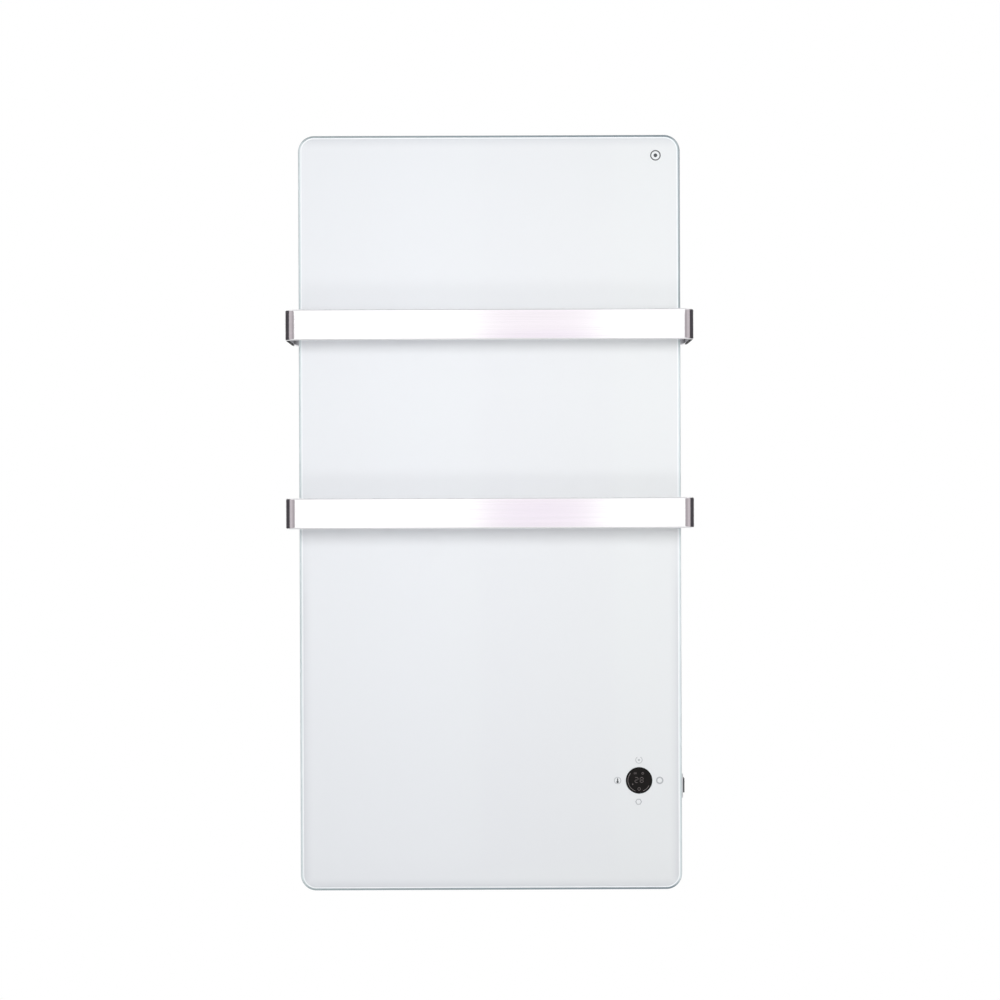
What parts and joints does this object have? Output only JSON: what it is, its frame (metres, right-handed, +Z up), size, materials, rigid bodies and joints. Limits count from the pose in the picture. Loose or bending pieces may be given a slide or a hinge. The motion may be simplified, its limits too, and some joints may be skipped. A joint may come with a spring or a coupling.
{
  "type": "glass panel heater",
  "caption": "Tall wall-hung infrared heater: white glass front in a shallow steel casing, flat aluminium towel bars, round display, side rocker switch and lift-off wall rails.",
  "frame": {"origin": "on the wall's face, in the middle of the four wall fixing holes and level with the middle of the glass panel", "axes": "+Z up along the panel's height, +Y into the wall, so the glass faces -Y, and +X to the right of someone who faces the glass"},
  "size_m": [0.452, 0.0985, 0.85],
  "materials": {
    "enamelled_glass": "gloss",
    "painted_casing": "satin",
    "polished_aluminium": "polished",
    "zinc_steel": "satin",
    "stainless_steel": "satin",
    "silicone": "satin",
    "heating_film": "satin",
    "copper": "satin",
    "terminal_brass": "satin",
    "insulation": "matte",
    "smoked_acrylic": "gloss",
    "black_plastic": "satin",
    "rocker_plastic": "satin",
    "grey_plastic": "satin",
    "white_plastic": "satin",
    "circuit_board": "satin",
    "conductive_foam": "matte",
    "terminal_green": "satin",
    "relay_blue": "satin",
    "capacitor_yellow": "satin",
    "fuse_glass": "gloss",
    "ribbon_grey": "satin",
    "wire_brown": "satin",
    "wire_red": "satin",
    "wire_white": "satin",
    "wire_green": "satin",
    "black_rubber": "matte"
  },
  "bodies": {
    "wall": {"upper_wall_rail": "zinc_steel", "lower_wall_rail": "zinc_steel"},
    "heater": {"glass_panel": "enamelled_glass", "glass_bond": "silicone", "rear_casing": "painted_casing", "upper_hanger_rail": "zinc_steel", "lower_hanger_rail": "zinc_steel", "hanger_rivets": "zinc_steel", "upper_towel_bar": "polished_aluminium", "lower_towel_bar": "polished_aluminium", "bar_backing_plates": "zinc_steel", "bar_screws": "stainless_steel", "bar_washers": "stainless_steel", "heating_film": "heating_film", "busbars": "copper", "insulation_board": "insulation", "thermal_cutouts": "black_plastic", "cutout_terminals": "terminal_brass", "display_window": "smoked_acrylic", "led_display": "black_plastic", "display_board": "circuit_board", "display_housing": "white_plastic", "touch_pads": "conductive_foam", "switch_surround": "grey_plastic", "switch_body": "black_plastic", "switch_terminals": "terminal_brass", "rocker_pin": "stainless_steel", "control_box": "white_plastic", "control_box_lid": "white_plastic", "box_screws": "stainless_steel", "power_board": "circuit_board", "board_screws": "stainless_steel", "terminal_blocks": "terminal_green", "relay": "relay_blue", "power_converter": "black_plastic", "filter_capacitor": "capacitor_yellow", "fuse": "fuse_glass", "display_ribbon": "ribbon_grey", "switch_wires": "wire_brown", "element_leads": "wire_red", "cutout_wires": "wire_white", "earth_wire": "wire_green", "earth_stud": "zinc_steel", "ring_terminal": "terminal_brass", "earth_nut": "zinc_steel", "air_sensor": "stainless_steel", "sensor_grommet": "black_rubber", "sensor_wire": "wire_white", "cable_hood": "white_plastic", "hood_screws": "stainless_steel"},
    "rocker": {"rocker": "rocker_plastic"}
  },
  "joints": [
    {"name": "lift_off", "type": "slide", "parent": "wall", "child": "heater", "axis": [0, 0, 1], "range_m": [0, 0.016]},
    {"name": "rocker_tilt", "type": "hinge", "parent": "heater", "child": "rocker", "pos_m": [0.211, -0.035, -0.31], "axis": [0, -1, 0], "range_deg": [0, 20]}
  ]
}
